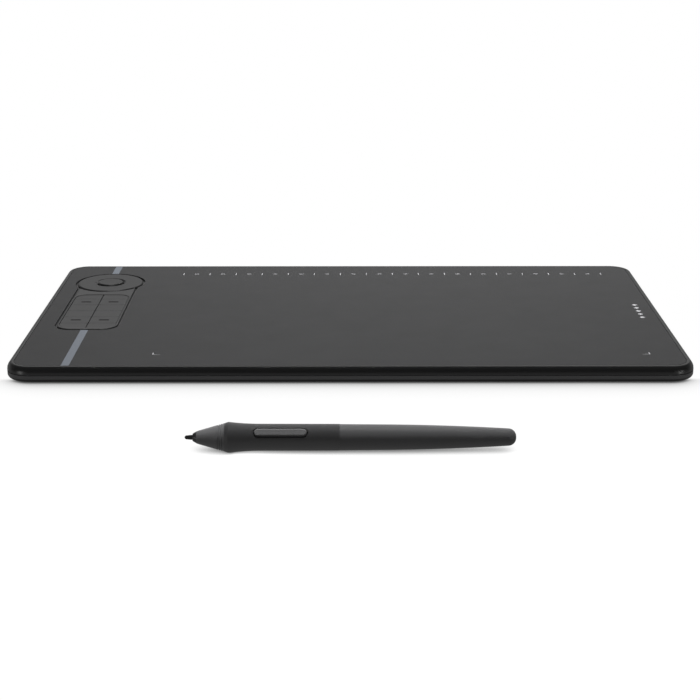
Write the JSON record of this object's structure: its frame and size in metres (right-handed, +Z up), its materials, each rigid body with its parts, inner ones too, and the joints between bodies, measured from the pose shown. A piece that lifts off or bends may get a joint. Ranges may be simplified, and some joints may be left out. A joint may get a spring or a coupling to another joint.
{
  "type": "pen drawing tablet",
  "caption": "Thin desktop pen tablet with a rotary dial and press keys beside a matte drawing surface, and a cordless stylus lying in front of it.",
  "frame": {"origin": "on the desk, under the centre of the box that holds the tablet and its stylus", "axes": "+X along the tablet's long side, away from the keys; +Y away from the user; +Z up"},
  "size_m": [0.364, 0.314, 0.0143],
  "materials": {
    "cover_black": "fine satin black",
    "cover_lower": "satin charcoal",
    "sheet_grey": "finely textured charcoal writing film",
    "stripe_silver": "blue-grey satin",
    "control_plastic": "satin charcoal",
    "foot_rubber": "matte",
    "steel": "plain",
    "board_green": "solder mask",
    "component_black": "moulded",
    "battery_foil": "foil pouch",
    "ribbon_amber": "polyimide film",
    "grip_rubber": "soft matte",
    "pen_plastic": "satin",
    "nib_plastic": "matte",
    "copper": "enamelled winding wire",
    "ferrite": "sintered"
  },
  "bodies": {
    "tablet": {"top_cover": "cover_black", "bottom_cover": "cover_lower", "rubber_feet": "foot_rubber", "case_screws": "steel", "drawing_sheet": "sheet_grey", "accent_stripe_rear": "stripe_silver", "accent_stripe_front": "stripe_silver", "key_bezel": "cover_black", "sensor_board": "board_green", "shield_plate": "steel", "main_board": "board_green", "usb_c_socket": "steel", "usb_c_tongue": "component_black", "power_switch": "component_black", "battery_cell": "battery_foil", "control_board": "board_green", "key_switches": "component_black", "dial_encoder": "component_black", "dial_switch": "component_black", "ribbon_cable": "ribbon_amber", "sensor_connector": "component_black"},
    "dial": {"dial_ring": "control_plastic", "dial_clip": "steel"},
    "dial_button": {"dial_button": "control_plastic"},
    "power_button": {"power_button": "control_plastic"},
    "key_left_1": {"key_left_1": "control_plastic"},
    "key_left_2": {"key_left_2": "control_plastic"},
    "key_left_3": {"key_left_3": "control_plastic"},
    "key_left_4": {"key_left_4": "control_plastic"},
    "key_left_5": {"key_left_5": "control_plastic"},
    "key_left_6": {"key_left_6": "control_plastic"},
    "key_right_1": {"key_right_1": "control_plastic"},
    "key_right_2": {"key_right_2": "control_plastic"},
    "key_right_3": {"key_right_3": "control_plastic"},
    "key_right_4": {"key_right_4": "control_plastic"},
    "key_right_5": {"key_right_5": "control_plastic"},
    "key_right_6": {"key_right_6": "control_plastic"},
    "pen": {"pen_nose": "pen_plastic", "pen_grip": "grip_rubber", "pen_barrel": "pen_plastic", "pen_chassis": "nib_plastic", "pen_circuit_board": "board_green", "pen_switch_seat": "pen_plastic", "pen_switches": "component_black", "pen_ferrite_core": "ferrite", "pen_coil": "copper", "pen_pressure_sensor": "component_black"},
    "pen_nib": {"pen_nib": "nib_plastic", "pen_nib_holder": "nib_plastic"},
    "pen_button_front": {"pen_button_front": "pen_plastic"},
    "pen_button_rear": {"pen_button_rear": "pen_plastic"}
  },
  "joints": [
    {"name": "dial_turn", "type": "hinge", "parent": "tablet", "child": "dial", "pos_m": [-0.15, 0.11398, 0.008], "axis": [0, 0, 1], "continuous": true},
    {"name": "dial_button_press", "type": "slide", "parent": "tablet", "child": "dial_button", "axis": [0, 0, -1], "range_m": [0, 0.0005], "stiffness_N_per_m": 400, "springref_m": -0.0005},
    {"name": "power_button_press", "type": "slide", "parent": "tablet", "child": "power_button", "axis": [0, -1, 0], "range_m": [0, 0.0004], "stiffness_N_per_m": 400, "springref_m": -0.0005},
    {"name": "key_left_1_press", "type": "slide", "parent": "tablet", "child": "key_left_1", "axis": [0, 0, -1], "range_m": [0, 0.0004], "stiffness_N_per_m": 400, "springref_m": -0.0005},
    {"name": "key_left_2_press", "type": "slide", "parent": "tablet", "child": "key_left_2", "axis": [0, 0, -1], "range_m": [0, 0.0004], "stiffness_N_per_m": 400, "springref_m": -0.0005},
    {"name": "key_left_3_press", "type": "slide", "parent": "tablet", "child": "key_left_3", "axis": [0, 0, -1], "range_m": [0, 0.0004], "stiffness_N_per_m": 400, "springref_m": -0.0005},
    {"name": "key_left_4_press", "type": "slide", "parent": "tablet", "child": "key_left_4", "axis": [0, 0, -1], "range_m": [0, 0.0004], "stiffness_N_per_m": 400, "springref_m": -0.0005},
    {"name": "key_left_5_press", "type": "slide", "parent": "tablet", "child": "key_left_5", "axis": [0, 0, -1], "range_m": [0, 0.0004], "stiffness_N_per_m": 400, "springref_m": -0.0005},
    {"name": "key_left_6_press", "type": "slide", "parent": "tablet", "child": "key_left_6", "axis": [0, 0, -1], "range_m": [0, 0.0004], "stiffness_N_per_m": 400, "springref_m": -0.0005},
    {"name": "key_right_1_press", "type": "slide", "parent": "tablet", "child": "key_right_1", "axis": [0, 0, -1], "range_m": [0, 0.0004], "stiffness_N_per_m": 400, "springref_m": -0.0005},
    {"name": "key_right_2_press", "type": "slide", "parent": "tablet", "child": "key_right_2", "axis": [0, 0, -1], "range_m": [0, 0.0004], "stiffness_N_per_m": 400, "springref_m": -0.0005},
    {"name": "key_right_3_press", "type": "slide", "parent": "tablet", "child": "key_right_3", "axis": [0, 0, -1], "range_m": [0, 0.0004], "stiffness_N_per_m": 400, "springref_m": -0.0005},
    {"name": "key_right_4_press", "type": "slide", "parent": "tablet", "child": "key_right_4", "axis": [0, 0, -1], "range_m": [0, 0.0004], "stiffness_N_per_m": 400, "springref_m": -0.0005},
    {"name": "key_right_5_press", "type": "slide", "parent": "tablet", "child": "key_right_5", "axis": [0, 0, -1], "range_m": [0, 0.0004], "stiffness_N_per_m": 400, "springref_m": -0.0005},
    {"name": "key_right_6_press", "type": "slide", "parent": "tablet", "child": "key_right_6", "axis": [0, 0, -1], "range_m": [0, 0.0004], "stiffness_N_per_m": 400, "springref_m": -0.0005},
    {"name": "pen_lift", "type": "slide", "parent": "tablet", "child": "pen", "axis": [0, 0, 1], "range_m": [0, 0.15]},
    {"name": "nib_press", "type": "slide", "parent": "pen", "child": "pen_nib", "axis": [1, 0, 0], "range_m": [0, 0.0005], "stiffness_N_per_m": 400, "springref_m": -0.0005},
    {"name": "pen_button_front_press", "type": "slide", "parent": "pen", "child": "pen_button_front", "axis": [0, 0.7431, -0.6691], "range_m": [0, 0.00035], "stiffness_N_per_m": 400, "springref_m": -0.0005},
    {"name": "pen_button_rear_press", "type": "slide", "parent": "pen", "child": "pen_button_rear", "axis": [0, 0.7431, -0.6691], "range_m": [0, 0.00035], "stiffness_N_per_m": 400, "springref_m": -0.0005}
  ]
}
